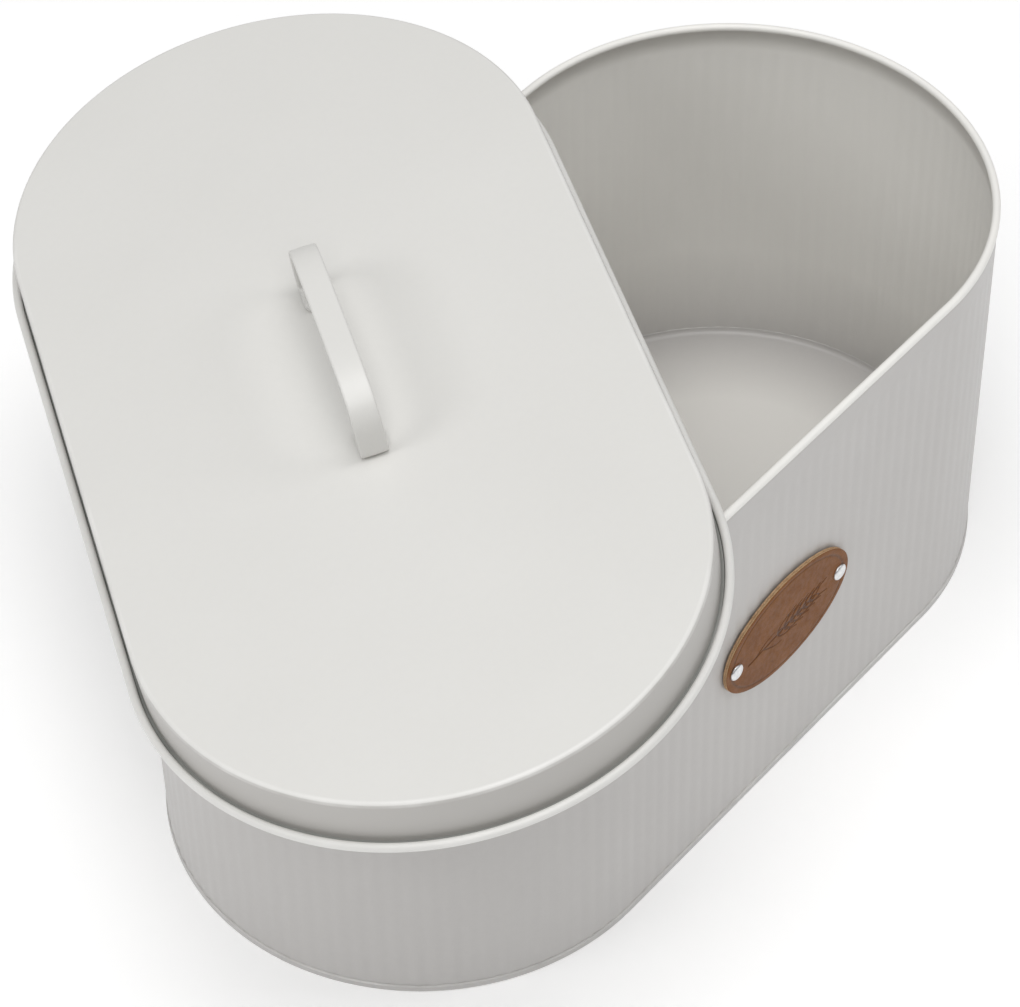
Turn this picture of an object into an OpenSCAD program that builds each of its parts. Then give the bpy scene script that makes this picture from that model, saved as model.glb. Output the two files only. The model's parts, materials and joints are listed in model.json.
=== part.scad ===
// Oblong ribbed tin bread box with a loose lift-off lid.
// The origin is the middle of the base, the long side runs along X, the label faces -Y and Z is up.
// The lid lies askew: it hooks over the -X end and its hoop stands on the rim at the front and the back.

/* [Box] */
// Length over the rolled rim
body_l = 340; // [300:1:400]
// Width over the rolled rim
body_w = 176; // [150:1:210]
// Height from the table to the top of the rim
body_h = 150.5; // [120:0.5:190]
// Thickness of the sheet metal of the box and the lid
sheet = 0.8; // [0.6:0.1:1]
// Thickness of the rolled rim
rim_d = 2.8; // [2.4:0.1:3.4]
// Height of the plain band under the rim
band_h = 8; // [5:0.5:14]
// How far the plain band is set back from the outside of the rim
band_set = 0.7; // [0.4:0.1:1]

/* [Ribs] */
// Distance from one rib to the next
rib_pitch = 6; // [5:0.5:9]
// Height of a rib over the plain band
rib_h = 0.6; // [0.4:0.1:1]

/* [Base seam] */
// Height of the folded seam round the foot
seam_h = 3.2; // [2.4:0.2:5]
// Thickness of the base sheet
base_sheet = 0.6; // [0.5:0.1:0.8]
// Height of the floor's underside over the table
floor_up = 2; // [1:0.5:4]
// Room between the ribs and the seam's lip
seam_gap = 0.1; // [0.05:0.05:0.3]

/* [Lid] */
// How far the lid's bead reaches past the rim at the long sides
over_side = 5; // [4.9:0.1:6]
// How far the lid's bead reaches past the rim at the round ends
over_end = 6.9; // [6:0.1:9]
// Height of the flat top over the underside of the bead
lid_h = 18; // [14:0.2:24]
// Thickness of the rolled bead at the lid's edge
bead_d = 2.8; // [2.4:0.1:3]
// Width of the groove between the bead and the lid's side
groove_w = 1.1; // [0.8:0.1:1.2]
// How much the lid's side leans in from foot to top
lid_lean = 0.2; // [0:0.1:0.4]
// Radius of the lid's rounded top edge
lid_edge_r = 1.5; // [1.5:0.5:4]
// How far the inner hoop reaches below the bead
hoop_depth = 6; // [5:0.5:12]
// Room between the inner hoop and the inside of the rim
hoop_gap = 0.4; // [0.2:0.1:1]

/* [Lid at rest] */
// Turn of the lid seen from above
lid_turn = 56.1; // [50:0.1:62]
// Distance along X from the box's -X end to the middle of the lid
lid_from_end = 100.9; // [92:0.1:110]
// Middle of the lid along Y
lid_y = 34.8; // [27:0.1:40]
// Room left between the lid and the rim where it rests
rest_gap = 0.65; // [0.6:0.05:0.9]

/* [Handle] */
// Length over the two legs
handle_l = 80; // [60:1:110]
// Height over the lid
handle_h = 27; // [20:0.5:40]
// Width of the strap
strap_w = 9; // [8:0.5:16]
// Thickness of the strap
strap_t = 2; // [1.5:0.1:3]
// How square the arch is, 2 is an ellipse
arch_power = 4.5; // [2.5:0.1:8]
// Length of each inward foot
foot_l = 11; // [11:0.5:18]
// Diameter of the handle rivets' shanks
grip_rivet_d = 3.2; // [3:0.1:5]
// Diameter of the handle rivets' heads
grip_head_d = 6.4; // [5.5:0.1:8]

/* [Label] */
// Length of the oval leather label
label_l = 66; // [62:0.5:80]
// Height of the oval leather label
label_w = 41; // [30:0.5:60]
// Distance from the middle of the long side to the label's middle, to the left
label_shift = 3.5; // [0:0.5:8]
// Height of the label's middle over the table
label_z = 74.5; // [60:0.5:100]
// Thickness of the tooled top leather
face_t = 0.9; // [0.8:0.1:2]
// Thickness of the leather behind it
back_t = 0.8; // [0.8:0.1:2]
// Distance between the two label rivets
rivet_gap = 55.5; // [40:0.5:56]
// Diameter of the label rivets' shanks
tag_rivet_d = 3; // [2.5:0.1:4]
// Diameter of the label rivets' heads
tag_head_d = 6; // [5:0.1:8]

/* [Hidden] */
$fn = 96;

paint = [0.87, 0.865, 0.845];
hide = [0.56, 0.36, 0.22];
hide_core = [0.72, 0.55, 0.38];
bare_metal = [0.8, 0.8, 0.81];

// Middle of the lid along X
lid_x = lid_from_end - body_l / 2;

// Half widths that the sections below are drawn at
body_r = body_w / 2;
body_straight = body_l - body_w;
band_r = body_r - band_set;
rib_r = band_r + rib_h;
crest_r = body_r - rim_d / 2;
ribs_top = body_h - rim_d - band_h;
// The ledge that closes the ribs at the top reaches a little past them on both faces
ledge = 0.15;

// Ribs: a whole number that keeps both halves of the box alike, four outline points to a rib
outline_l = 2 * body_straight + 2 * PI * band_r;
rib_count = 4 * round(outline_l / rib_pitch / 4);

// Seam: the lip clears the ribs, the riser clears the inside of the wall
lip_r = rib_r + seam_gap;
riser_r = band_r - sheet - seam_gap;

// Lid: from the bead inwards
lid_r = body_r + over_side;
lid_straight = body_l + 2 * over_end - 2 * lid_r;
side_r = lid_r - bead_d - groove_w;
top_r = side_r - lid_lean;
roof_z = lid_h - sheet;
hoop_r = body_r - rim_d - hoop_gap;

// Fastenings
hole_slack = 0.1;
burr_t = 0.8;
tail_t = 0.7;
head_share = 0.2;
grip_x = handle_l / 2 - strap_t - foot_l / 2;
grip_burr_d = 9;
tag_burr_d = 7;

// Plan position of a point given in the lid's own axes, and the way back
function on_table(p) = [lid_x + p.x * cos(lid_turn) - p.y * sin(lid_turn),
                        lid_y + p.x * sin(lid_turn) + p.y * cos(lid_turn)];
function on_lid_axes(p) = [(p.x - lid_x) * cos(lid_turn) + (p.y - lid_y) * sin(lid_turn),
                           -(p.x - lid_x) * sin(lid_turn) + (p.y - lid_y) * cos(lid_turn)];

// The plane of the bead's underside over the rim: [height at the lid's middle, slope along, slope across].
// The hoop's foot stands on the rim at the front and the back, and the roof lies on the rim's -X end.
function rest_plane(s) = let (
    stretch = sqrt(1 + s[1] * s[1] + s[2] * s[2]),
    drift = hoop_depth / stretch,
    near = on_table([-lid_straight / 2 + drift * s[1], drift * s[2]]),
    far = on_table([lid_straight / 2 + drift * s[1], drift * s[2]]),
    fall = [s[1] * cos(lid_turn) - s[2] * sin(lid_turn), s[1] * sin(lid_turn) + s[2] * cos(lid_turn)],
    front = on_lid_axes([near.x + sqrt(pow(hoop_r, 2) - pow(crest_r + near.y, 2)), -crest_r]),
    back = on_lid_axes([far.x + sqrt(pow(hoop_r, 2) - pow(crest_r - far.y, 2)), crest_r]),
    end = on_lid_axes([-body_straight / 2, 0] - crest_r * fall / norm(fall)),
    foot = hoop_depth * stretch + rest_gap,
    roof = rest_gap - roof_z * stretch,
    face = cross([back.x - front.x, back.y - front.y, 0], [end.x - front.x, end.y - front.y, roof - foot]),
    along = -face.x / face.z,
    across = -face.y / face.z
) [foot - along * front.x - across * front.y, along, across];
function settle(s, n) = n == 0 ? s : settle(rest_plane(s), n - 1);
rest = settle([0, 0, -0.15], 6);
up = [-rest[1], -rest[2], 1] / norm([rest[1], rest[2], 1]);

module on_lid() {
    translate([lid_x, lid_y, body_h + rest[0]])
        rotate([0, 0, lid_turn])
            rotate([0, atan2(up.x, up.z), 0])
                rotate([-asin(up.y), 0, 0])
                    children();
}

// Sweeps a section round an oblong: the section's x is the distance from the middle line, its y is the height
module run_round(straight) {
    for (turn = [0, 180]) rotate([0, 0, turn]) {
        translate([straight / 2, 0, 0]) rotate([0, 0, -90]) rotate_extrude(angle = 180) children();
        translate([-straight / 2, 0, 0]) rotate([90, 0, 90]) linear_extrude(straight) children();
    }
}

// A point on the box's outline: s is the way walked from the front left corner, out is how far outwards
function outline_point(s, out) =
    s < body_straight ? [s - body_straight / 2, -band_r - out] :
    s < body_straight + PI * band_r ?
        let (a = (s - body_straight) / band_r * 180 / PI - 90)
            [body_straight / 2 + (band_r + out) * cos(a), (band_r + out) * sin(a)] :
    -outline_point(s - body_straight - PI * band_r, out);

module rib_outline(out) {
    points = 4 * rib_count;
    polygon([for (i = [0 : points - 1])
        outline_point((i + 0.5) * outline_l / points, out + (i % 4 < 2 ? 0 : rib_h))]);
}

// A rivet with its head's underside at z = 0, through a stack of the given thickness to a burr below it
module rivet(shank_d, head_d, stack, head_h) {
    ball_r = (pow(head_d / 2, 2) + pow(head_h, 2)) / (2 * head_h);
    intersection() {
        translate([0, 0, head_h - ball_r]) sphere(ball_r);
        cylinder(d = head_d + 1, h = head_h);
    }
    translate([0, 0, -stack - burr_t - tail_t]) cylinder(d = shank_d, h = stack + burr_t + tail_t);
    translate([0, 0, -stack - burr_t - tail_t]) cylinder(d1 = shank_d + 0.6, d2 = shank_d + 1.4, h = tail_t);
}

// The washer that a rivet is closed over, with its top at z = 0
module burr(shank_d, burr_d) {
    translate([0, 0, -burr_t]) difference() {
        cylinder(d = burr_d, h = burr_t);
        translate([0, 0, -1]) cylinder(r = shank_d / 2 + hole_slack, h = burr_t + 2);
    }
}

// Places something x to the right of the label's middle, with z pointing out of the box from the ribs
module at_label(x) {
    translate([x - label_shift, -rib_r, label_z]) rotate([90, 0, 0]) children();
}

module label_holes() {
    for (x = [-rivet_gap / 2, rivet_gap / 2])
        at_label(x) translate([0, 0, -10]) cylinder(r = tag_rivet_d / 2 + hole_slack, h = 20);
}

module label_plate(l, w, t) {
    at_label(0) linear_extrude(t)
        polygon([for (a = [0 : 5 : 355]) [l / 2 * cos(a), w / 2 * sin(a)]]);
}

module body_wall() color(paint) {
    difference() {
        translate([0, 0, base_sheet]) linear_extrude(ribs_top - base_sheet) difference() {
            rib_outline(0);
            rib_outline(-sheet);
        }
        label_holes();
    }
    run_round(body_straight) {
        translate([band_r - sheet - ledge, ribs_top]) square([rib_h + sheet + 2 * ledge, sheet]);
        translate([band_r - sheet, ribs_top]) square([sheet, body_h - rim_d / 2 - ribs_top]);
        translate([crest_r, body_h - rim_d / 2]) circle(d = rim_d);
    }
}

module body_base() color(paint) run_round(body_straight) {
    translate([0, floor_up]) square([riser_r, base_sheet]);
    translate([riser_r - base_sheet, 0]) square([base_sheet, floor_up + base_sheet]);
    translate([riser_r - base_sheet, 0]) square([lip_r - riser_r + 2 * base_sheet, base_sheet]);
    translate([lip_r, 0]) square([base_sheet, seam_h]);
}

module label_back() color(hide_core) difference() {
    label_plate(label_l, label_w, back_t);
    label_holes();
}

module label_face() color(hide) difference() {
    translate([0, -back_t, 0]) label_plate(label_l, label_w, face_t);
    label_holes();
}

module label_rivet(side) color(bare_metal)
    at_label(side * rivet_gap / 2) translate([0, 0, back_t + face_t])
        rivet(tag_rivet_d, tag_head_d, back_t + face_t + rib_h + sheet, tag_head_d * head_share);

module label_burr(side) color(bare_metal)
    at_label(side * rivet_gap / 2) translate([0, 0, -rib_h - sheet]) burr(tag_rivet_d, tag_burr_d);

module lid_pan() color(paint) on_lid() difference() {
    run_round(lid_straight) {
        translate([0, roof_z]) square([top_r - lid_edge_r, sheet]);
        translate([top_r - lid_edge_r, lid_h - lid_edge_r]) intersection() {
            difference() {
                circle(lid_edge_r);
                circle(lid_edge_r - sheet);
            }
            square(lid_edge_r);
        }
        polygon([[top_r - sheet, lid_h - lid_edge_r], [top_r, lid_h - lid_edge_r],
                 [side_r, 0], [side_r - sheet, 0]]);
        translate([side_r - sheet, 0]) square([lid_r - bead_d / 2 - side_r + sheet, sheet]);
        translate([lid_r - bead_d / 2, bead_d / 2]) circle(d = bead_d);
    }
    for (x = [-grip_x, grip_x])
        translate([x, 0, 0]) cylinder(r = grip_rivet_d / 2 + hole_slack, h = lid_h + 1);
}

module lid_hoop() color(paint) on_lid() run_round(lid_straight)
    translate([hoop_r - sheet, -hoop_depth]) square([sheet, hoop_depth + roof_z]);

// The strap's arch as a squared-off ellipse, with half its thickness on each side of the middle line
function arch(a, grow) = [
    (handle_l / 2 - strap_t / 2 + grow) * sign(cos(a)) * pow(abs(cos(a)), 2 / arch_power),
    (handle_h - strap_t / 2 + grow) * pow(sin(a), 2 / arch_power)];

module handle_strap() color(paint) on_lid() translate([0, 0, lid_h]) difference() {
    union() {
        translate([0, strap_w / 2, 0]) rotate([90, 0, 0]) linear_extrude(strap_w) polygon(concat(
            [for (i = [0 : 36]) arch(i * 5, strap_t / 2)],
            [for (i = [36 : -1 : 0]) arch(i * 5, -strap_t / 2)]));
        for (side = [-1, 1])
            translate([side * (handle_l / 2 - strap_t - foot_l / 2), 0, strap_t / 2])
                cube([foot_l + strap_t, strap_w, strap_t], center = true);
    }
    for (x = [-grip_x, grip_x])
        translate([x, 0, -1]) cylinder(r = grip_rivet_d / 2 + hole_slack, h = strap_t + 2);
}

module handle_rivet(side) color(paint)
    on_lid() translate([side * grip_x, 0, lid_h + strap_t])
        rivet(grip_rivet_d, grip_head_d, strap_t + sheet, grip_head_d * head_share);

module handle_burr(side) color(bare_metal)
    on_lid() translate([side * grip_x, 0, roof_z]) burr(grip_rivet_d, grip_burr_d);

body_wall();
body_base();
label_back();
label_face();
label_rivet(-1);  // label_rivet_left
label_rivet(1);  // label_rivet_right
label_burr(-1);  // label_burr_left
label_burr(1);  // label_burr_right
lid_pan();
lid_hoop();
handle_strap();
handle_rivet(-1);  // handle_rivet_near
handle_rivet(1);  // handle_rivet_far
handle_burr(-1);  // handle_burr_near
handle_burr(1);  // handle_burr_far
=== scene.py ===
"""An oblong ribbed tin bread box in cream enamel, its loose lid lying askew over one end of the open box.

Everything is in metres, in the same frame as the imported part. The box's own pieces are swept round an
oblong. The lid's pieces are made flat, in the lid's own axes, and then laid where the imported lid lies.
"""
import json
import math

import bmesh
import bpy
import numpy as np
from mathutils import Matrix, Vector

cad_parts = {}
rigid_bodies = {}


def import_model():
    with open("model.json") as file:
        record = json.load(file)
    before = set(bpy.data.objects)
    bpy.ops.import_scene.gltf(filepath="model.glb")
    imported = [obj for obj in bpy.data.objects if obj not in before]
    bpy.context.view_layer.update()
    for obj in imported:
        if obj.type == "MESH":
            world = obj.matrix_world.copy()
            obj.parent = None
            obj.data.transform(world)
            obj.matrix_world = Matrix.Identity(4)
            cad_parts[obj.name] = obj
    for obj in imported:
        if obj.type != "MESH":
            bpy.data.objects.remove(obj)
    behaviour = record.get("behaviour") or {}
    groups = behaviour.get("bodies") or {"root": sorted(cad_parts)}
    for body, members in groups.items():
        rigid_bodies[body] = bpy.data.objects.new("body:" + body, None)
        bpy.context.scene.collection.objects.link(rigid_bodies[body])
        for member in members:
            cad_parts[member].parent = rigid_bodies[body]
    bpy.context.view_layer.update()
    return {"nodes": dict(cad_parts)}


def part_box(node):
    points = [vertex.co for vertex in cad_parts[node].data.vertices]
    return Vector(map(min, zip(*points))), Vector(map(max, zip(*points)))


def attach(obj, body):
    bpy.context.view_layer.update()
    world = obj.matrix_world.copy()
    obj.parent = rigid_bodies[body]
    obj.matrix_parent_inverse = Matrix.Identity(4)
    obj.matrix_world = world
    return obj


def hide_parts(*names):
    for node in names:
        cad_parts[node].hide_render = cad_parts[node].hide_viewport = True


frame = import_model()

MM = 0.001
BOX, LID = "box", "lid"

# ---------------------------------------------------------------- sizes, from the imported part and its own

SHEET = 0.8 * MM
wall_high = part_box("body_wall")[1]
RIB_SHOULDER = 0.05 * MM
RIM_R = wall_high.y - RIB_SHOULDER
RIM_TOP = wall_high.z
BOX_STRAIGHT = 2 * (wall_high.x - wall_high.y)
RIM_D = 2.8 * MM
BAND_R = RIM_R - 0.7 * MM
RIBS_TOP = RIM_TOP - RIM_D - 8 * MM
RIB_PITCH = 6 * MM
RIB_COUNT = 4 * round((2 * BOX_STRAIGHT + 2 * math.pi * BAND_R) / RIB_PITCH / 4)
RIB_HEIGHT = 0.16 * MM
POINTS_PER_RIB = 12

base_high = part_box("body_base")[1]
BASE_SHEET = 0.6 * MM
FLOOR_TOP = 2.6 * MM
RISER_R = BAND_R - SHEET - 0.1 * MM

LID_R = RIM_R + 5 * MM
LID_STRAIGHT = BOX_STRAIGHT + 3.8 * MM
LID_HEIGHT = 18 * MM
BEAD_D = 2.8 * MM
GROOVE_WIDTH = 1.1 * MM
GROOVE_FLOOR = 0.9 * MM
LID_SIDE_R = LID_R - BEAD_D - GROOVE_WIDTH
LID_TOP_R = LID_SIDE_R - 0.2 * MM
LID_EDGE = 1.5 * MM
ROOF = LID_HEIGHT - SHEET
HOOP_R = RIM_R - RIM_D - 0.4 * MM
HOOP_DEPTH = 6 * MM

HANDLE_LENGTH = 80 * MM
HANDLE_HEIGHT = 27 * MM
STRAP_WIDTH = 9 * MM
STRAP_THICK = 2 * MM
ARCH_POWER = 4.5
FOOT_LENGTH = 11 * MM
BURR_THICK = 0.8 * MM

label_low, label_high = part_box("label_face")
back_low, back_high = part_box("label_back")


# ---------------------------------------------------------------- camera and light

def stand_camera():
    """A long lens above the box's front left corner, looking down on the lid and into the open end."""
    lens = bpy.data.cameras.new("eye")
    lens.lens = 130.1
    lens.sensor_width = 36
    lens.clip_end = 30
    eye = bpy.data.objects.new("eye", lens)
    bpy.context.scene.collection.objects.link(eye)
    turn = Matrix.Rotation(math.radians(-49.349), 4, "Z")
    look_down = Matrix.Rotation(math.radians(90 - 46.610), 4, "X")
    roll = Matrix.Rotation(math.radians(-1.432), 4, "Z")
    eye.matrix_world = Matrix.Translation((-0.65933, -0.53563, 0.96679)) @ turn @ look_down @ roll
    bpy.context.scene.camera = eye


def hang_light(name, place, aim, size, power, tint=(1, 1, 1)):
    """A square soft light at place, turned to face aim."""
    lamp = bpy.data.lights.new(name, "AREA")
    lamp.shape = "SQUARE"
    lamp.size = size
    lamp.energy = power
    lamp.color = tint
    holder = bpy.data.objects.new(name, lamp)
    bpy.context.scene.collection.objects.link(holder)
    away = Vector(place) - Vector(aim)
    holder.matrix_world = Matrix.Translation(place) @ away.to_track_quat("Z", "Y").to_matrix().to_4x4()


def light_the_table():
    """Large soft lights at either hand, overhead and over the shoulder, and pale light all round."""
    middle = (-0.02, 0.02, 0.12)
    hang_light("left_hand", (-1.55, 0.70, 1.45), middle, 0.8, 8)
    hang_light("right_hand", (1.05, -1.05, 1.40), middle, 0.8, 6)
    hang_light("overhead", (-0.20, -0.05, 2.2), middle, 1.5, 22)
    hang_light("shoulder", (-1.05, -0.90, 1.75), middle, 1.0, 9)
    world = bpy.data.worlds.new("pale_room")
    world.use_nodes = True
    sky = world.node_tree.nodes["Background"]
    sky.inputs["Color"].default_value = (1.0, 1.0, 1.0, 1)
    sky.inputs["Strength"].default_value = 0.21
    bpy.context.scene.world = world
    bpy.context.scene.view_settings.view_transform = "Standard"


# ---------------------------------------------------------------- materials

class Recipe:
    """A material under construction: short ways to add nodes and join them to its one shader."""

    def __init__(self, name, **constants):
        self.material = bpy.data.materials.new(name)
        self.material.use_nodes = True
        self.tree = self.material.node_tree
        self.shader = self.tree.nodes["Principled BSDF"]
        for socket, value in constants.items():
            self.shader.inputs[socket.replace("_", " ")].default_value = value

    def add(self, kind, settings=None, **inputs):
        node = self.tree.nodes.new(kind)
        for name, value in (settings or {}).items():
            setattr(node, name, value)
        for name, value in inputs.items():
            self.put(value, node.inputs[name.replace("_", " ")])
        return node

    def put(self, value, socket):
        """Joins a node's output to the socket, or sets the socket to a plain value."""
        if isinstance(value, bpy.types.NodeSocket):
            self.tree.links.new(value, socket)
        else:
            socket.default_value = value

    def place(self):
        return self.add("ShaderNodeTexCoord").outputs["Object"]

    def noise(self, scale, detail=2.0, stretch=None, rough=0.5):
        """Fine or coarse mottling, finer with a larger scale; stretch draws it out along an axis."""
        spot = self.place()
        if stretch:
            spot = self.add("ShaderNodeMapping", Vector=spot, Scale=stretch).outputs["Vector"]
        node = self.add("ShaderNodeTexNoise", Vector=spot, Scale=scale, Detail=detail, Roughness=rough)
        return node.outputs["Fac"]

    def cells(self, scale, feature="DISTANCE_TO_EDGE"):
        node = self.add("ShaderNodeTexVoronoi", {"feature": feature}, Vector=self.place(), Scale=scale)
        return node.outputs["Distance"]

    def spread(self, value, low, high, new_low, new_high):
        """Maps low to high onto new_low to new_high, held at both ends."""
        node = self.add("ShaderNodeMapRange", Value=value)
        sockets = ("From Min", "From Max", "To Min", "To Max")
        for socket, number in zip(sockets, (low, high, new_low, new_high)):
            node.inputs[socket].default_value = number
        return node.outputs["Result"]

    def sums(self, how, a, b):
        node = self.add("ShaderNodeMath", {"operation": how})
        self.put(a, node.inputs[0])
        self.put(b, node.inputs[1])
        return node.outputs["Value"]

    def blend(self, share, one, other):
        """One colour turning into another as share goes from 0 to 1."""
        node = self.add("ShaderNodeMix", {"data_type": "RGBA"})
        for index, value in ((0, share), (6, one), (7, other)):
            self.put(value, node.inputs[index])
        return node.outputs[2]

    def mark(self, name):
        return self.add("ShaderNodeAttribute", {"attribute_name": name}).outputs["Fac"]

    def relief(self, *layers):
        """Bump layers of (height, depth in metres, strength), one over another, into the normal."""
        normal = None
        for height, depth, strength in layers:
            node = self.add("ShaderNodeBump", Height=height, Distance=depth, Strength=strength)
            if normal:
                self.tree.links.new(normal, node.inputs["Normal"])
            normal = node.outputs["Normal"]
        self.tree.links.new(normal, self.shader.inputs["Normal"])

    def into(self, socket, value):
        self.tree.links.new(value, self.shader.inputs[socket])


def cream_enamel(name, pale, deep, painted_tone, peel=0.10):
    """Baked enamel on tin: satin, with faint orange peel, slow drifts of tone and corners rubbed paler.
    Where marked, the colour turns to another tone as painted light and shade, and the marked groove is
    painted near-black as painted shade."""
    mix = Recipe(name, IOR=1.5, Coat_Weight=0.0)
    drift = mix.spread(mix.noise(11, 3), 0.3, 0.7, 0, 1)
    speck = mix.spread(mix.noise(420, 2), 0.35, 0.75, 0, 0.35)
    body = mix.blend(mix.sums("MULTIPLY", mix.sums("ADD", drift, speck), 0.74), pale, deep)
    # painted light and shade: marked points take the other tone, paler inside the box and on its rim, darker
    # on the lid's side
    body = mix.blend(mix.mark("painted_light_and_shade"), body, painted_tone)
    worn = mix.sums("MULTIPLY", mix.mark("worn"), mix.spread(mix.noise(60, 3), 0.35, 0.7, 0.1, 0.6))
    # painted shade: the marked groove and the foot of the lid's side go near-black
    body = mix.blend(mix.sums("MULTIPLY", mix.mark("painted_groove_shade"), 0.8), body, (0.13, 0.14, 0.125, 1))
    mix.into("Base Color", mix.blend(worn, body, (0.85, 0.84, 0.82, 1)))
    smear = mix.sums("ADD", mix.noise(26, 4), mix.sums("MULTIPLY", mix.noise(900, 1), 0.5))
    mix.into("Roughness", mix.spread(smear, 0.45, 1.05, 0.33, 0.45))
    mix.relief((mix.noise(760, 2), 0.00006, peel), (mix.noise(14, 1), 0.0012, 0.05))
    return mix.material


def bright_aluminium(name):
    """Pale tumbled aluminium with fine handling scratches."""
    mix = Recipe(name, Metallic=1.0)
    bloom = mix.spread(mix.noise(900, 4), 0.3, 0.7, 0, 1)
    mix.into("Base Color", mix.blend(bloom, (0.80, 0.80, 0.80, 1), (0.66, 0.66, 0.67, 1)))
    scratch = mix.noise(700, 3, stretch=(1, 9, 1))
    mix.into("Roughness", mix.spread(scratch, 0.3, 0.75, 0.24, 0.46))
    mix.relief((scratch, 0.00005, 0.12))
    return mix.material


def tooled_leather(name):
    """Vegetable-tanned brown leather: pebbled grain, mottled dye, darker and smoother where pressed."""
    mix = Recipe(name, IOR=1.3)
    mottle = mix.spread(mix.noise(120, 5), 0.3, 0.7, 0, 1)
    dye = mix.blend(mottle, (0.240, 0.086, 0.016, 1), (0.195, 0.066, 0.011, 1))
    pores = mix.spread(mix.cells(1500), 0.0, 0.12, 0.55, 0)
    grained = mix.blend(pores, dye, (0.105, 0.045, 0.020, 1))
    pressed = mix.mark("pressed")
    mix.into("Base Color", mix.blend(mix.sums("MULTIPLY", pressed, 0.8), grained, (0.060, 0.024, 0.011, 1)))
    mix.into("Roughness", mix.sums("SUBTRACT", mix.spread(mix.noise(500, 3), 0.3, 0.7, 0.42, 0.62),
                                   mix.sums("MULTIPLY", pressed, 0.1)))
    mix.relief((mix.cells(1500), 0.00012, 0.35), (mix.noise(90, 4), 0.0004, 0.25))
    return mix.material


def leather_core(name):
    """The cut edge and flesh side of the leather: pale, fibrous, with darker fibres and a dry surface."""
    mix = Recipe(name, IOR=1.4)
    fibre = mix.noise(2400, 4, stretch=(0.35, 1, 2.2))
    blotch = mix.noise(260, 3)
    share = mix.spread(mix.sums("ADD", fibre, mix.sums("MULTIPLY", blotch, 0.5)), 0.55, 0.95, 0, 1)
    mix.into("Base Color", mix.blend(share, (0.60, 0.41, 0.24, 1), (0.36, 0.21, 0.11, 1)))
    mix.into("Roughness", mix.spread(blotch, 0.3, 0.7, 0.75, 0.92))
    mix.relief((fibre, 0.0002, 0.4))
    return mix.material


def table_top(name):
    """A plain white table that glows a little, with the faintest unevenness."""
    mix = Recipe(name, Roughness=0.7, Emission_Color=(1, 1, 1, 1), Emission_Strength=0.22)
    mix.into("Base Color", mix.blend(mix.noise(3, 2), (0.93, 0.93, 0.93, 1), (0.95, 0.95, 0.95, 1)))
    return mix.material


# ---------------------------------------------------------------- making solids

def volume(points, faces):
    """Six times the signed volume, positive where the faces look outwards."""
    total = 0.0
    corners = points[np.array(faces)]
    for k in range(1, corners.shape[1] - 1):
        total += np.einsum("ij,ij->", corners[:, 0], np.cross(corners[:, k], corners[:, k + 1]))
    return total


def solid(name, points, faces, marks=None):
    """A closed, smooth mesh with its faces turned outwards; marks are named values, one to a point."""
    points = np.asarray(points, float)
    if volume(points, faces) < 0:
        faces = np.asarray(faces)[:, ::-1]
    mesh = bpy.data.meshes.new(name)
    mesh.from_pydata(points.tolist(), [], np.asarray(faces).tolist())
    for mark, values in (marks or {}).items():
        values = np.asarray(values, np.float32)
        kind = ("FLOAT", "value") if values.ndim == 1 else ("FLOAT_VECTOR", "vector")
        mesh.attributes.new(mark, kind[0], "POINT").data.foreach_set(kind[1], values.ravel())
    tidy = bmesh.new()
    tidy.from_mesh(mesh)
    bmesh.ops.remove_doubles(tidy, verts=tidy.verts, dist=1e-7)
    tidy.to_mesh(mesh)
    tidy.free()
    mesh.polygons.foreach_set("use_smooth", [True] * len(mesh.polygons))
    made = bpy.data.objects.new(name, mesh)
    bpy.context.scene.collection.objects.link(made)
    return made


def settle(piece, material, body, nodes, lay=None):
    """Lays a finished piece in its place, gives it its finish when one is given, ties it to its body and
    hides the CAD nodes that it stands in for.
    """
    if lay is not None:
        piece.data.transform(lay)
    if material is not None:
        piece.data.materials.clear()
        piece.data.materials.append(material)
    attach(piece, body)
    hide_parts(*nodes)
    return piece


def softened(corners, steps=6):
    """A section from corners of (out, height, radius), each rounded by its radius."""
    line = []
    for i, (x, z, r) in enumerate(corners):
        here = np.array([x, z])
        if r == 0 or i in (0, len(corners) - 1):
            line.append(here)
            continue
        before = np.array(corners[i - 1][:2]) - here
        after = np.array(corners[i + 1][:2]) - here
        before = before / np.linalg.norm(before)
        after = after / np.linalg.norm(after)
        half = math.acos(np.clip(before @ after, -1, 1)) / 2
        middle = here + (before + after) / np.linalg.norm(before + after) * r / math.sin(half)
        start = here + before * r / math.tan(half) - middle
        end = here + after * r / math.tan(half) - middle
        a, b = math.atan2(start[1], start[0]), math.atan2(end[1], end[0])
        sweep = (b - a + math.pi) % (2 * math.pi) - math.pi
        for k in range(steps + 1):
            angle = a + sweep * k / steps
            line.append(middle + r * np.array([math.cos(angle), math.sin(angle)]))
    return line


def curl(x, z, r, start, end, steps):
    """Part of a circle in a section, from one angle to another in degrees."""
    angles = np.radians(np.linspace(start, end, steps + 1))
    return [np.array([x + r * math.cos(a), z + r * math.sin(a)]) for a in angles]


def held(line, near=0.25 * MM, closed=False):
    """Adds a point close to each end of every long run, so that shading stays flat up to the bends."""
    out = []
    ends = line[1:] + ([line[0]] if closed else [])
    for a, b in zip(line, ends):
        out.append(a)
        run = np.linalg.norm(b - a)
        if run > 5 * near:
            out += [a + (b - a) * near / run, b - (b - a) * near / run]
    if not closed:
        out.append(line[-1])
    return np.array(out)


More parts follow.
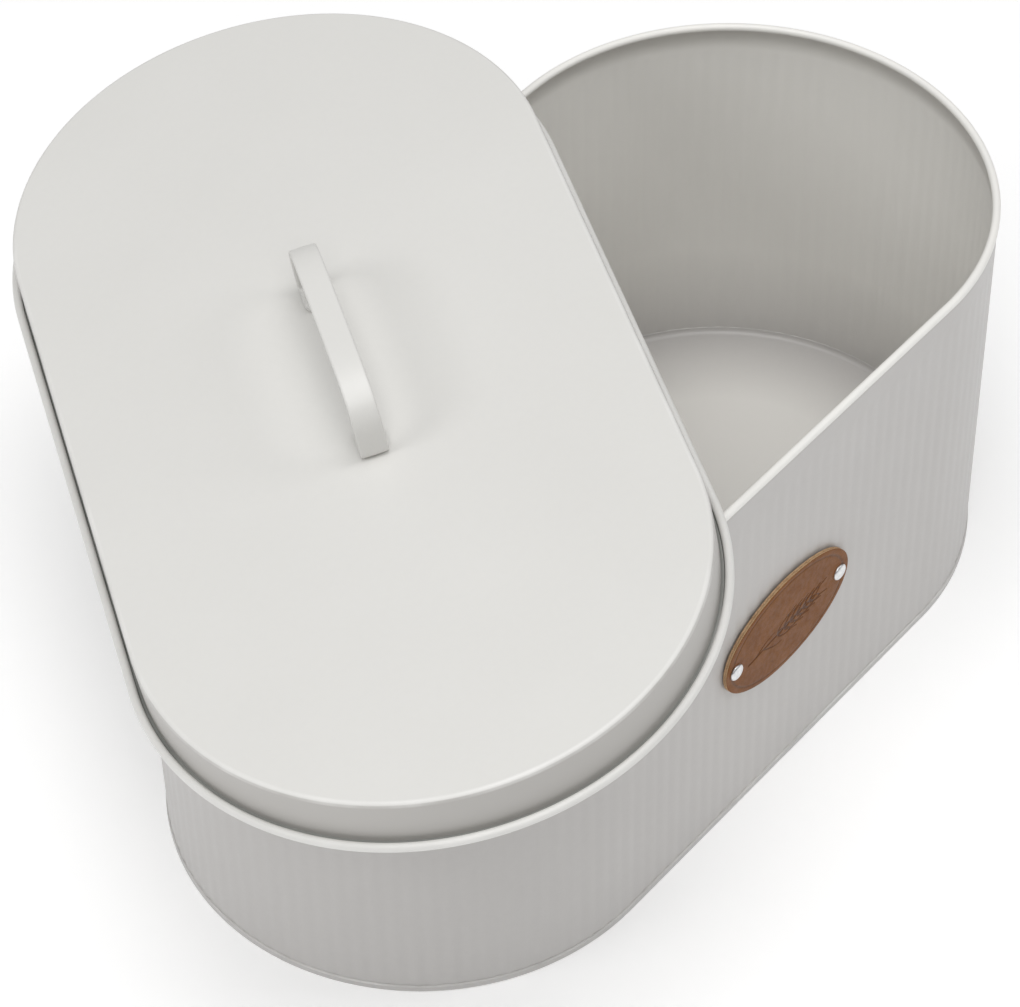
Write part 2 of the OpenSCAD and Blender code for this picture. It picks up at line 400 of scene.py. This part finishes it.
def stations(straight, radius, count):
    """Evenly spaced places round an oblong: its middle-line points, outward directions and share walked."""
    half = straight + math.pi * radius
    share = np.arange(count) / count
    walked = share * 2 * half
    side = np.where(walked < half, 1.0, -1.0)
    walked = walked % half
    turned = np.clip((walked - straight) / radius, 0, math.pi) - math.pi / 2
    middle = np.stack([np.minimum(walked, straight) - straight / 2, np.zeros(count)], 1)
    outward = np.stack([np.cos(turned), np.sin(turned)], 1)
    return middle * side[:, None], outward * side[:, None], share


def rubbed(section, closed):
    """How hard each point of a section is rubbed: 1 on an outer corner, 0 on the flat and in hollows."""
    before = section - np.roll(section, 1, axis=0)
    after = np.roll(section, -1, axis=0) - section
    bend = np.arctan2(before[:, 0] * after[:, 1] - before[:, 1] * after[:, 0], (before * after).sum(1))
    out, height = section[:, 0], section[:, 1]
    around = np.sign(np.sum(out * np.roll(height, -1) - np.roll(out, -1) * height))
    worn = np.clip(bend * around / 0.25, 0, 1)
    if not closed:
        worn[[0, -1]] = 0
    return worn


def swept(name, section, straight, count, closed, marks=None):
    """A section of (out, height) carried round an oblong. A section that starts and ends at the middle line
    is open there, and its ends close themselves; any other is a closed loop."""
    middle, outward, share = stations(straight, BAND_R, count)
    rows = len(section)
    marks = {"worn": rubbed(section, closed), **(marks or {})}
    out, height = section[:, 0], section[:, 1]
    plan = middle[:, None, :] + outward[:, None, :] * out[None, :, None]
    tall = np.broadcast_to(height[None, :, None], (count, rows, 1))
    points = np.concatenate([plan, tall], 2).reshape(-1, 3)
    i, j = np.meshgrid(np.arange(count), np.arange(rows if closed else rows - 1), indexing="ij")
    i2, j2 = (i + 1) % count, (j + 1) % rows
    faces = np.stack([i * rows + j, i2 * rows + j, i2 * rows + j2, i * rows + j2], -1).reshape(-1, 4)
    marks = {mark: np.tile(per_row, count) for mark, per_row in marks.items()}
    if "press" in marks:
        marks["outward"] = np.repeat(np.concatenate([outward, np.zeros((count, 1))], 1), rows, axis=0)
        marks["walked"] = np.repeat(share, rows)
    return solid(name, points, faces, marks)


# ---------------------------------------------------------------- node trees for what repeats

class Works:
    """A Geometry Nodes tree under construction, with named inputs and one geometry out."""

    def __init__(self, name, inputs):
        self.tree = bpy.data.node_groups.new(name, "GeometryNodeTree")
        face = self.tree.interface
        face.new_socket("Geometry", in_out="INPUT", socket_type="NodeSocketGeometry")
        self.ids = {}
        for label, kind in inputs:
            socket = face.new_socket(label, in_out="INPUT", socket_type="NodeSocket" + kind)
            self.ids[label] = socket.identifier
        face.new_socket("Geometry", in_out="OUTPUT", socket_type="NodeSocketGeometry")
        self.source = self.tree.nodes.new("NodeGroupInput").outputs

    def add(self, kind, settings=None, **inputs):
        node = self.tree.nodes.new(kind)
        for name, value in (settings or {}).items():
            setattr(node, name, value)
        for name, value in inputs.items():
            self.put(value, node.inputs[name.replace("_", " ")])
        return node

    def put(self, value, socket):
        if isinstance(value, bpy.types.NodeSocket):
            self.tree.links.new(value, socket)
        else:
            socket.default_value = value

    def sums(self, how, a, b=0.0):
        node = self.add("ShaderNodeMath", {"operation": how})
        self.put(a, node.inputs[0])
        self.put(b, node.inputs[1])
        return node.outputs["Value"]

    def mark(self, name, kind="FLOAT"):
        node = self.add("GeometryNodeInputNamedAttribute", {"data_type": kind}, Name=name)
        return node.outputs["Attribute"]

    def close(self, geometry):
        """Makes instances real, gives the material and ends the tree."""
        real = self.add("GeometryNodeRealizeInstances", Geometry=geometry).outputs["Geometry"]
        dressed = self.add("GeometryNodeSetMaterial", Geometry=real, Material=self.source["Material"])
        done = self.tree.nodes.new("NodeGroupOutput")
        self.tree.links.new(dressed.outputs["Geometry"], done.inputs["Geometry"])

    def run(self, piece, **values):
        """Runs the tree on a piece and makes the result its plain mesh."""
        worker = piece.modifiers.new(self.tree.name, "NODES")
        worker.node_group = self.tree
        for label, value in values.items():
            worker[self.ids[label.replace("_", " ")]] = value
        bpy.context.view_layer.update()
        graph = bpy.context.evaluated_depsgraph_get()
        seen = piece.evaluated_get(graph)
        made = bpy.data.meshes.new_from_object(seen, preserve_all_data_layers=True, depsgraph=graph)
        piece.modifiers.remove(worker)
        piece.data = made
        return piece


def rib_works():
    """Presses rounded ribs out of a wall, by how far round each point is and how hard it is pressed."""
    works = Works("pressed_ribs", [("Rib Count", "Int"), ("Rib Height", "Float"), ("Plumpness", "Float"),
                                   ("Material", "Material")])
    turn = works.sums("MULTIPLY", works.mark("walked"), works.source["Rib Count"])
    turn = works.sums("MULTIPLY", works.sums("SUBTRACT", turn, 0.75), 2 * math.pi)
    wave = works.sums("MULTIPLY", works.sums("ADD", works.sums("COSINE", turn), 1.0), 0.5)
    wave = works.sums("POWER", wave, works.source["Plumpness"])
    rise = works.sums("MULTIPLY", wave, works.source["Rib Height"])
    rise = works.sums("MULTIPLY", rise, works.mark("press"))
    push = works.add("ShaderNodeVectorMath", {"operation": "SCALE"},
                     Vector=works.mark("outward", "FLOAT_VECTOR"), Scale=rise)
    moved = works.add("GeometryNodeSetPosition", Geometry=works.source["Geometry"],
                      Offset=push.outputs["Vector"])
    works.close(moved.outputs["Geometry"])
    return works


def fastening_works():
    """Sets one turned fastening at every point, its head facing the way that the point does."""
    works = Works("set_fastenings", [("Fastening", "Object"), ("Material", "Material")])
    one = works.add("GeometryNodeObjectInfo", Object=works.source["Fastening"]).outputs["Geometry"]
    facing = works.mark("facing", "FLOAT_VECTOR")
    aim = works.add("FunctionNodeAlignRotationToVector", {"axis": "Z"}, Vector=facing)
    spots = works.add("GeometryNodeMeshToPoints", Mesh=works.source["Geometry"]).outputs["Points"]
    set_out = works.add("GeometryNodeInstanceOnPoints", Points=spots, Instance=one,
                        Rotation=aim.outputs["Rotation"])
    works.close(set_out.outputs["Instances"])
    return works


# ---------------------------------------------------------------- the box

def make_wall(paint, ribs):
    """The ribbed wall: one sheet from the seam up to the plain band and the round rolled rim.
    Inside and on the rim a paler tone is painted light. Inside, it fades out towards the floor, which stays
    darker as painted shade."""
    ribbed = [BASE_SHEET, 3.4 * MM, 45 * MM, 90 * MM]
    # painted light inside the wall: full at the top, gone at the floor, where the darker tone is painted
    # shade
    inside_painted_light = [0.0, 0.2, 0.85, 1.0]
    fade = [RIBS_TOP - d * MM for d in (4.0, 3.2, 2.4, 1.6, 0.8, 0.0)]
    fade_press = [1.0, 0.9, 0.65, 0.35, 0.1, 0.0]
    heights, press = ribbed + fade, [1.0] * len(ribbed) + fade_press
    band_top = RIM_TOP - RIM_D - 0.1 * MM
    rim_x, rim_z, rim_r = RIM_R - RIM_D / 2, RIM_TOP - RIM_D / 2, RIM_D / 2
    outer = [np.array([BAND_R, z]) for z in heights + [band_top]]
    inner = [np.array([BAND_R - SHEET, z]) for z in reversed(heights)]
    leave = -math.degrees(math.acos((BAND_R - rim_x) / rim_r))
    meet = 360 - math.degrees(math.acos((BAND_R - SHEET - rim_x) / rim_r))
    roll = curl(rim_x, rim_z, rim_r, leave, meet, 18)
    section = np.array(outer + roll + inner)
    pressed = np.array(press + [0.0] * (len(roll) + 1) + press[::-1])
    # painted light: the outside keeps the darker tone, and the rim and the upper inside take the paler one
    painted_light = np.array([0.0] * len(outer) + [1.0] * (len(roll) + len(fade)) + inside_painted_light[::-1])
    marks = {"press": pressed, "painted_light_and_shade": painted_light}
    wall = swept("ribbed_wall", section, BOX_STRAIGHT, POINTS_PER_RIB * RIB_COUNT, True, marks)
    ribs.run(wall, Rib_Count=RIB_COUNT, Rib_Height=RIB_HEIGHT, Plumpness=1.0, Material=paint)
    settle(wall, None, BOX, ["body_wall"])


def make_base(paint):
    """The bottom pan: a flat floor turned up at its edge, and a folded seam outside that holds the wall.
    A paler tone is painted light on the floor. It fades out towards the edge, where the darker tone is
    painted shade."""
    lip, low, fillet = BAND_R + 0.6 * MM, 0.0, 2 * MM
    inside = BAND_R - SHEET - 0.03 * MM
    # painted light on the floor: up to 0.6 of the paler tone, fading out over 33 mm towards the edge
    painted_light_fade, floor_painted_light = 33 * MM, 0.6
    wall_face = BAND_R + 0.02 * MM
    turn_up = FLOOR_TOP + fillet + 0.3 * MM
    riser = inside + 0.3 * MM
    corners = [(0, FLOOR_TOP, 0), (inside - fillet - painted_light_fade, FLOOR_TOP, 0),
               (inside, FLOOR_TOP, fillet), (inside, turn_up, 0), (riser, turn_up, 0.02 * MM),
               (riser, low + BASE_SHEET, 0.1 * MM), (wall_face, low + BASE_SHEET, 0.1 * MM),
               (wall_face, base_high.z, 0.05 * MM), (lip, base_high.z, 0.5 * MM),
               (lip, low, 0.8 * MM), (RISER_R - BASE_SHEET, low, 0.5 * MM),
               (RISER_R - BASE_SHEET, FLOOR_TOP - BASE_SHEET, 0.3 * MM), (0, FLOOR_TOP - BASE_SHEET, 0)]
    section = held(softened(corners, 4), 0.15 * MM)
    painted_light = floor_painted_light * np.clip((inside - fillet - section[:, 0]) / painted_light_fade, 0, 1)
    pan = swept("bottom_pan", section, BOX_STRAIGHT, 360, False, {"painted_light_and_shade": painted_light})
    settle(pan, paint, BOX, ["body_base"])


# ---------------------------------------------------------------- the lid

def lid_axes():
    """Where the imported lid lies: x along it, z out of its flat top, its origin at the level of the bead."""
    near, far = ([(a + b) / 2 for a, b in zip(*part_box(n))] for n in ("handle_burr_near", "handle_burr_far"))
    near, far = Vector(near), Vector(far)
    sums = {}
    for face in frame["nodes"]["lid_pan"].data.polygons:
        key = tuple(round(v, 3) for v in face.normal)
        sums[key] = sums.get(key, 0) + face.area
    facing = max((key for key in sums if key[2] > 0), key=sums.get)
    up = Vector(facing).normalized()
    along = (far - near).normalized()
    across = up.cross(along).normalized()
    along = across.cross(up)
    middle = (near + far) / 2 - up * (ROOF - BURR_THICK / 2)
    turn = Matrix((along, across, up)).transposed().to_4x4()
    return Matrix.Translation(middle) @ turn


def make_lid_pan(paint, lay):
    """The lid: a flat top with a crisp edge, a near-upright side, a narrow groove and a rolled bead."""
    bead_x, bead_r = LID_R - BEAD_D / 2, BEAD_D / 2
    slot_x, slot_floor = bead_x - bead_r - 0.2 * MM, 0.35 * MM
    foot = LID_SIDE_R - 0.01 * MM
    dark_top, dark_fade = 1.5 * MM, 0.6 * MM
    side_low, side_high = 1.2 * MM, LID_HEIGHT - 0.6 * MM
    top = softened([(0, LID_HEIGHT, 0), (LID_TOP_R, LID_HEIGHT, LID_EDGE), (foot, dark_top + 0.4 * MM, 0),
                    (foot, dark_top, 0), (LID_SIDE_R, GROOVE_FLOOR, 0.2 * MM),
                    (slot_x, GROOVE_FLOOR, 0.15 * MM), (slot_x, slot_floor, 0)], 6)
    meet = math.degrees(math.asin((bead_r - slot_floor) / bead_r))
    bead = curl(bead_x, bead_r, bead_r, 180 + meet, -90, 24)
    under = softened([(bead_x - 0.1 * MM, 0, 0), (LID_SIDE_R - SHEET, 0, 0.3 * MM),
                      (LID_TOP_R - SHEET, ROOF, LID_EDGE - SHEET), (0, ROOF, 0)], 8)
    section = held(top + bead + under)
    out, up = section[:, 0], section[:, 1]
    # painted shade: the foot of the side and the groove floor, up to 1.5 mm high, are painted near-black, and
    # the bead stays clear
    painted_groove_shade = np.clip((dark_top - up) / dark_fade, 0, 1) * (out > LID_SIDE_R - 0.05 * MM) * (up > 0.3 * MM)
    painted_groove_shade = np.where(out > bead_x - 0.8 * MM, 0, painted_groove_shade)
    # painted shade: the lid's side, between its rounded top edge and the groove, takes the darker tone
    side = (out > LID_TOP_R - 0.6 * MM) & (out < slot_x) & (up > side_low) & (up < side_high)
    marks = {"painted_groove_shade": painted_groove_shade, "painted_light_and_shade": np.where(side, 1.0, 0.0)}
    pan = swept("lid_pan_shell", section, LID_STRAIGHT, 480, False, marks)
    settle(pan, paint, LID, ["lid_pan"], lay)


def make_hoop(paint, lay):
    """The inner hoop that centres the lid: a plain band with its lower edge rolled inwards."""
    roll_r = 0.8 * MM
    roll = curl(HOOP_R - roll_r, roll_r - HOOP_DEPTH, roll_r, 0, -285, 16)
    line = [np.array([HOOP_R, ROOF])] + roll + [np.array([HOOP_R - SHEET, ROOF])]
    hoop = swept("inner_hoop", held(line, closed=True), LID_STRAIGHT, 360, True)
    settle(hoop, paint, LID, ["lid_hoop"], lay)


def handle_line():
    """The strap's middle line, from one foot's tip up over the arch and down to the other's."""
    reach = HANDLE_LENGTH / 2 - STRAP_THICK / 2
    crown = HANDLE_HEIGHT - STRAP_THICK / 2
    bend = 2.0 * MM
    tip = HANDLE_LENGTH / 2 - STRAP_THICK - FOOT_LENGTH
    low = STRAP_THICK / 2
    round_part, flat_part = 5, 8
    steps = round_part * (1 - np.cos(np.linspace(0, math.pi / 2, 12)))
    foot = [(tip + s * MM, low) for s in steps] + [(tip + flat_part * MM, low)]
    foot += [(reach - bend + bend * math.sin(a), low + bend - bend * math.cos(a))
             for a in np.radians(np.linspace(0, 90, 9))]
    start = math.asin(((low + bend) / crown) ** (ARCH_POWER / 2))
    arch = [(reach * math.cos(a) ** (2 / ARCH_POWER), crown * math.sin(a) ** (2 / ARCH_POWER))
            for a in start + (math.pi / 2 - start) * np.linspace(0.0, 1, 60) ** 1.6]
    half = foot + arch[1:]
    line = np.array(half + [(-x, z) for x, z in reversed(half[:-1])])
    return line


def make_strap(paint, lay):
    """The handle: a flat strap with softened edges, bent into an arch, with round-ended inward feet."""
    line = handle_line()
    ahead = np.gradient(line, axis=0)
    ahead /= np.linalg.norm(ahead, axis=1)[:, None]
    left = np.stack([-ahead[:, 1], ahead[:, 0]], 1)
    w, t, r = STRAP_WIDTH / 2, STRAP_THICK / 2, 0.75 * MM
    crown = 0.12 * MM
    corners = [(0, t, 0), (w, t - crown, r), (w, -t, r), (-w, -t, r), (-w, t - crown, r), (0, t, 0)]
    shape = held(softened(corners, 5)[:-1], 0.2 * MM, closed=True)
    walked = np.concatenate([[0], np.cumsum(np.linalg.norm(np.diff(line, axis=0), axis=1))])
    to_end = np.minimum(walked, walked[-1] - walked)
    narrow = np.sqrt(np.clip(1 - np.clip(1 - to_end / w, 0, 1) ** 2, 0, 1))
    rows, count = len(shape), len(line)
    thick = np.where(to_end < 1e-9, 0.0, 1.0)
    points = np.zeros((count, rows, 3))
    points[:, :, 1] = shape[None, :, 0] * narrow[:, None]
    for axis, column in ((0, 0), (2, 1)):
        lift = shape[None, :, 1] * thick[:, None] * left[:, column, None] * -1
        points[:, :, axis] = line[:, column, None] + lift
    i, j = np.meshgrid(np.arange(count - 1), np.arange(rows), indexing="ij")
    j2 = (j + 1) % rows
    faces = np.stack([i * rows + j, (i + 1) * rows + j, (i + 1) * rows + j2, i * rows + j2], -1)
    strap = solid("handle_strap_bent", points.reshape(-1, 3), faces.reshape(-1, 4))
    settle(strap, paint, LID, ["handle_strap"], lay @ Matrix.Translation((0, 0, LID_HEIGHT)))


# ---------------------------------------------------------------- rivets and burrs

def turned(name, profile, count=48):
    """A profile of (radius, height) turned about the z axis."""
    around = np.arange(count) * 2 * math.pi / count
    r, z = profile[:, 0], profile[:, 1]
    rows = len(profile)
    points = np.stack([r[None] * np.cos(around)[:, None], r[None] * np.sin(around)[:, None],
                       np.broadcast_to(z[None], (count, rows))], -1).reshape(-1, 3)
    shut = r[0] > 0
    i, j = np.meshgrid(np.arange(count), np.arange(rows if shut else rows - 1), indexing="ij")
    i2, j2 = (i + 1) % count, (j + 1) % rows
    faces = np.stack([i * rows + j, i2 * rows + j, i2 * rows + j2, i * rows + j2], -1).reshape(-1, 4)
    return solid(name, points, faces)


def rivet_shape(shank_d, head_d, stack):
    """A domed rivet closed over a burr: its head's underside is at height 0."""
    head, shank, rise = head_d / 2, shank_d / 2, head_d * 0.2
    foot = -stack - BURR_THICK
    edge, upset = 0.18 * MM, foot - 0.7 * MM
    dome = [(head * math.sin(a) ** 0.9, edge + (rise - edge) * math.cos(a) ** 0.8)
            for a in np.linspace(0, math.pi / 2, 14)]
    rest = softened([(head, edge, 0), (head, 0, 0.09 * MM), (shank, 0, 0.05 * MM),
                     (shank, foot, 0.05 * MM), (shank + 0.65 * MM, foot - 0.1 * MM, 0.2 * MM),
                     (shank + 0.3 * MM, upset, 0.2 * MM), (0, upset, 0)], 4)
    return held([np.array(p) for p in dome] + rest[1:], 0.06 * MM)


def burr_shape(shank_d, burr_d):
    """The washer under a rivet, with softened corners, its top at height 0."""
    inner, outer = shank_d / 2 + 0.02 * MM, burr_d / 2
    ring = [(inner + 0.5 * MM, 0, 0), (outer, 0, 0.25 * MM), (outer, -BURR_THICK, 0.25 * MM),
            (inner, -BURR_THICK, 0.1 * MM), (inner, 0, 0.1 * MM), (inner + 0.5 * MM, 0, 0)]
    return held(softened(ring, 4)[:-1], 0.06 * MM, closed=True)


def set_fastenings(works, name, profile, spots, facing, material, body, nodes):
    """Sets the same fastening at each spot, all facing one way, as one piece."""
    pattern = turned(name + "_pattern", profile)
    mesh = bpy.data.meshes.new(name)
    mesh.from_pydata([tuple(s) for s in spots], [], [])
    aims = mesh.attributes.new("facing", "FLOAT_VECTOR", "POINT").data
    aims.foreach_set("vector", list(facing) * len(spots))
    piece = bpy.data.objects.new(name, mesh)
    bpy.context.scene.collection.objects.link(piece)
    works.run(piece, Fastening=pattern, Material=material)
    bpy.data.objects.remove(pattern)
    piece.data.polygons.foreach_set("use_smooth", [True] * len(piece.data.polygons))
    settle(piece, None, body, nodes)


def fasten_everything(works, paint, metal, lay):
    """The label's two bright rivets and the handle's two painted ones, with their burrs on the far side."""
    label_shank, label_head, label_burr = 3 * MM, 6 * MM, 7 * MM
    handle_shank, handle_head, handle_burr = 3.2 * MM, 6.4 * MM, 9 * MM
    out, up = Vector((0, -1, 0)), lay.to_3x3() @ Vector((0, 0, 1))
    sides = ("left", "right")
    spots = [[(a + b) / 2 for a, b in zip(*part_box("label_rivet_" + side))] for side in sides]
    at_face = [(x, label_low.y, z) for x, y, z in spots]
    at_wall = [(x, -BAND_R + SHEET, z) for x, y, z in spots]
    stack = -label_low.y - BAND_R + SHEET
    set_fastenings(works, "label_rivets", rivet_shape(label_shank, label_head, stack), at_face, out,
                   metal, BOX, ["label_rivet_" + s for s in sides])
    set_fastenings(works, "label_burrs", burr_shape(label_shank, label_burr), at_wall, out,
                   metal, BOX, ["label_burr_" + s for s in sides])
    ends = ("near", "far")
    grip = HANDLE_LENGTH / 2 - STRAP_THICK - FOOT_LENGTH / 2
    at_foot = [lay @ Vector((x, 0, LID_HEIGHT + STRAP_THICK)) for x in (-grip, grip)]
    at_roof = [lay @ Vector((x, 0, ROOF)) for x in (-grip, grip)]
    rivet = rivet_shape(handle_shank, handle_head, STRAP_THICK + SHEET)
    set_fastenings(works, "handle_rivets", rivet, at_foot, up,
                   paint, LID, ["handle_rivet_" + e for e in ends])
    set_fastenings(works, "handle_burrs", burr_shape(handle_shank, handle_burr), at_roof, up,
                   metal, LID, ["handle_burr_" + e for e in ends])


# ---------------------------------------------------------------- the leather label

def to_line(p, a, b):
    """Distance from points to the line between a and b."""
    a, b = np.array(a), np.array(b)
    t = np.clip(((p - a) @ (b - a)) / ((b - a) @ (b - a)), 0, 1)
    return np.linalg.norm(p - a - t[:, None] * (b - a), axis=1)


def pressed_line(distance, width):
    """How hard a tool of that width presses at a distance from its path, from 0 to 1."""
    return np.clip(1 - (distance / (width / 2)) ** 2, 0, 1)


def wheat_ear(p):
    """A plain ear of wheat, tooled along the label: how hard each point (in millimetres) is pressed."""
    depth = np.zeros(len(p))
    stem = [(-21 + 3 * k, -3.2 + 2.6 * math.sin(k / 11 * 1.5)) for k in range(12)]
    for a, b in zip(stem, stem[1:]):
        depth = np.maximum(depth, pressed_line(to_line(p, a, b), 0.9))
    for k in range(6):
        root = np.array([-5.0 + 3.4 * k, -1.3 + 0.22 * k])
        for side in (-1, 1):
            lean = math.radians(6 + side * (34 - 2.2 * k))
            ahead = np.array([math.cos(lean), math.sin(lean)])
            aside = np.array([-ahead[1], ahead[0]])
            size = 3.4 - 0.16 * k
            q = p - root - ahead * (size * 0.95)
            x, y = q @ ahead / size, q @ aside / (size * 0.42)
            plump = 1 + 0.5 * np.clip(x, -1.2, 1.2)
            ring = np.abs(np.sqrt(x ** 2 + y ** 2 * plump) - 1) * size * 0.55
            depth = np.maximum(depth, pressed_line(ring, 0.75))
            tip = root + ahead * size * 1.95
            awn = tip + np.array([math.cos(lean * 0.6), math.sin(lean * 0.6)]) * 4.2
            depth = np.maximum(depth, pressed_line(to_line(p, tip, awn), 0.55))
    for side, root in ((1, -17.0), (-1, -13.0)):
        for k in range(6):
            a, b = (np.array([root + 1.6 * n, -2.6 + side * (3.6 * math.sin(n / 6 * 1.6))])
                    for n in (k, k + 1))
            depth = np.maximum(depth, pressed_line(to_line(p, a, b), 0.7 * (1 - k / 9)))
    return depth


def leather_oval(name, low, high, front_detail, top_soft):
    """One oval layer of the label in its own plane: front, softened edge, cut side and back."""
    a, b = (high.x - low.x) / 2, (high.z - low.z) / 2
    thick = high.y - low.y
    count = 420
    ring_gap, cut_wander = 0.26 * MM, 0.12 * MM
    insets = list(np.arange(b, 1.0 * MM, -ring_gap)) if front_detail else [b, b / 2, 3 * MM]
    rings = [(s, thick) for s in insets]
    rings += [(top_soft * (1 - math.sin(t)), thick - top_soft * (1 - math.cos(t)))
              for t in np.radians(np.linspace(0, 90, 6))]
    rings += [(0.0, thick * 0.4), (0.04 * MM, 0.18 * MM), (0.18 * MM, 0.04 * MM), (0.4 * MM, 0),
              (b / 2, 0), (b, 0)]
    around = np.arange(count) * 2 * math.pi / count
    wander = cut_wander * (np.sin(3 * around + 0.7) + np.sin(7 * around + 2.1) * 0.6 - 1.6)
    points = []
    for inset, z in rings:
        ease = wander * max(0.0, 1 - inset / (6 * MM))
        points.append(np.stack([(a - inset + ease) * np.cos(around), (b - inset + ease) * np.sin(around),
                                np.full(count, z)], 1))
    points = np.concatenate(points)
    pressed = np.zeros(len(points))
    if front_detail:
        front = points[:, 2] > thick - top_soft * 0.5
        edge = (1 - np.hypot(points[:, 0] / a, points[:, 1] / b)) * b
        line_inset, line_width, tool_depth, puff_height = 2.0 * MM, 0.9 * MM, 0.24 * MM, 0.12 * MM
        line = pressed_line(edge - line_inset, line_width) * 0.55
        ear = wheat_ear(points[:, :2] / MM)
        pressed = np.where(front, np.maximum(line, ear), 0)
        puff = puff_height * np.clip(edge / (4 * MM), 0, 1) ** 0.5 - puff_height
        points[:, 2] += np.where(front, puff - tool_depth * pressed, 0)
    i, j = np.meshgrid(np.arange(len(rings) - 1), np.arange(count), indexing="ij")
    j2 = (j + 1) % count
    faces = np.stack([i * count + j, i * count + j2, (i + 1) * count + j2, (i + 1) * count + j], -1)
    return solid(name, points, faces.reshape(-1, 4), {"pressed": pressed})


def make_label(leather, core):
    """Two oval layers of leather riveted to the front: the tooled face and the plain layer behind it."""
    stand = Matrix.Rotation(math.pi / 2, 4, "X")
    for name, low, high, detail, node, slot in (
            ("tooled_face", label_low, label_high, True, "label_face", "tooled_leather"),
            ("backing_leather", back_low, back_high, False, "label_back", "leather_core")):
        soft = 0.35 * MM if detail else 0.2 * MM
        layer = leather_oval(name, low, high, detail, soft)
        layer.data.materials.append(leather)
        layer.data.materials.append(core)
        thick = high.y - low.y
        for face in layer.data.polygons:
            face.material_index = 0 if detail and face.center.z > thick - soft * 0.75 else 1
        middle = Matrix.Translation(((low.x + high.x) / 2, high.y, (low.z + high.z) / 2))
        settle(layer, None, BOX, [node], middle @ stand)


# ---------------------------------------------------------------- putting it together

def lay_table(material):
    """A wide plain table under the box."""
    mesh = bpy.data.meshes.new("table")
    far = 6
    mesh.from_pydata([(-far, -far, 0), (far, -far, 0), (far, far, 0), (-far, far, 0)], [], [(0, 1, 2, 3)])
    mesh.materials.append(material)
    table = bpy.data.objects.new("table", mesh)
    bpy.context.scene.collection.objects.link(table)


stand_camera()
light_the_table()
# Both paints stand for one cream enamel: the box's outer tone is painted darker than the lid's as painted
# shade, the box's paler tone is painted light, and the lid's darker tone is painted shade
box_paint = cream_enamel("cream_enamel_box", (0.56, 0.545, 0.53, 1), (0.53, 0.514, 0.50, 1),
                         (0.90, 0.885, 0.845, 1))
lid_paint = cream_enamel("cream_enamel_lid", (0.755, 0.748, 0.722, 1), (0.73, 0.722, 0.696, 1),
                         (0.50, 0.485, 0.462, 1), 0.07)
metal = bright_aluminium("bright_aluminium")
leather = tooled_leather("tooled_leather")
core = leather_core("leather_core")

lay_table(table_top("white_table"))
make_wall(box_paint, rib_works())
make_base(box_paint)
seat = lid_axes()
make_lid_pan(lid_paint, seat)
make_hoop(lid_paint, seat)
make_strap(lid_paint, seat)
fasten_everything(fastening_works(), lid_paint, metal, seat)
make_label(leather, core)
